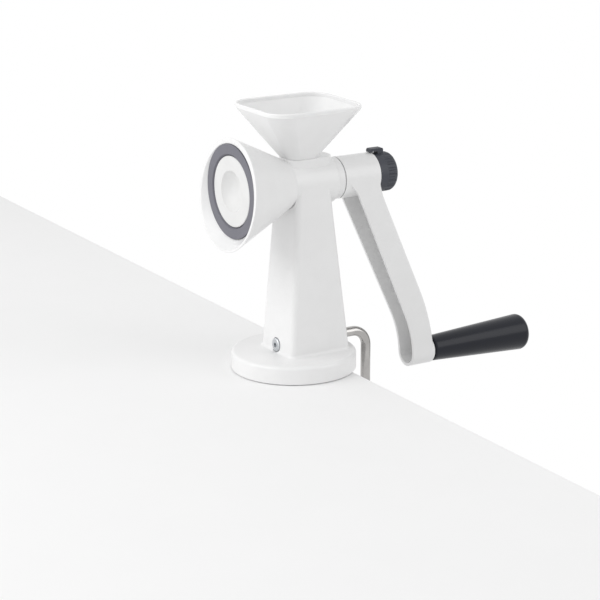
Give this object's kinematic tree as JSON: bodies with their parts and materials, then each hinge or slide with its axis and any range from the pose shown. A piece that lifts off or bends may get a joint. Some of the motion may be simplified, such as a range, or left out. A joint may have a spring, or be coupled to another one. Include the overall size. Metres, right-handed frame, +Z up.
{
  "type": "poppy seed mill",
  "caption": "Hand cranked seed mill on a round foot with a tapered column, square hopper, flared outlet, bent crank arm with a loose grip, and a bent rod table clamp.",
  "frame": {"origin": "middle of the foot's flat underside", "axes": "+Z up the column; the head and crank axis runs along Y at z = 0.159, with the outlet bell towards -Y and the crank towards +Y; X runs across"},
  "size_m": [0.106, 0.3181, 0.323],
  "materials": {
    "white_plastic": "satin",
    "funnel_plastic": "satin",
    "cone_plastic": "satin",
    "grey_plastic": "satin",
    "dark_plastic": "satin",
    "steel": "polished",
    "zinc_steel": "plated",
    "soft_foot": "matte",
    "soft_liner": "matte"
  },
  "bodies": {
    "stand": {"housing": "white_plastic", "foot_pad": "soft_foot", "outlet_bell": "white_plastic", "hopper": "funnel_plastic", "grinding_ring": "grey_plastic", "rear_bush": "white_plastic", "clamp_rod": "steel", "rod_screw": "zinc_steel", "rod_washer": "zinc_steel", "clamp_block": "zinc_steel", "block_pin": "zinc_steel"},
    "crank": {"crank_arm": "white_plastic", "grip_axle": "steel", "axle_nut": "zinc_steel", "grip_washer": "zinc_steel", "thrust_washer": "zinc_steel"},
    "grinder": {"drive_shaft": "steel", "feed_screw": "cone_plastic", "grinding_cone": "cone_plastic"},
    "knob": {"adjusting_knob": "dark_plastic", "knob_nut": "zinc_steel"},
    "grip": {"grip": "dark_plastic"},
    "pad": {"clamp_pad": "dark_plastic", "pad_liner": "soft_liner"},
    "spindle": {"clamp_spindle": "steel", "clamp_knob": "dark_plastic"}
  },
  "joints": [
    {"name": "crank_turn", "type": "hinge", "parent": "stand", "child": "crank", "pos_m": [0, 0.05, 0.159], "axis": [0, 1, 0], "continuous": true},
    {"name": "fineness_slide", "type": "slide", "parent": "crank", "child": "grinder", "axis": [0, 1, 0], "range_m": [-0.000333, 0.000333]},
    {"name": "knob_turn", "type": "hinge", "parent": "crank", "child": "knob", "pos_m": [0, 0.085, 0.159], "axis": [0, 1, 0], "range_deg": [-80, 80]},
    {"name": "grip_spin", "type": "hinge", "parent": "crank", "child": "grip", "pos_m": [0, 0.19, -0.0075], "axis": [0, 1, 0], "continuous": true},
    {"name": "clamp_slide", "type": "slide", "parent": "stand", "child": "pad", "axis": [0, 0, 1], "range_m": [-0.02, 0.014]},
    {"name": "spindle_turn", "type": "hinge", "parent": "pad", "child": "spindle", "pos_m": [0, 0, -0.07], "axis": [0, 0, 1], "range_deg": [-2400.1, 1680.1]}
  ],
  "couplings": [
    {"joint": "knob_turn", "follows": "fineness_slide", "rad_per_m": -4188.8},
    {"joint": "spindle_turn", "follows": "clamp_slide", "rad_per_m": 2094.4}
  ]
}
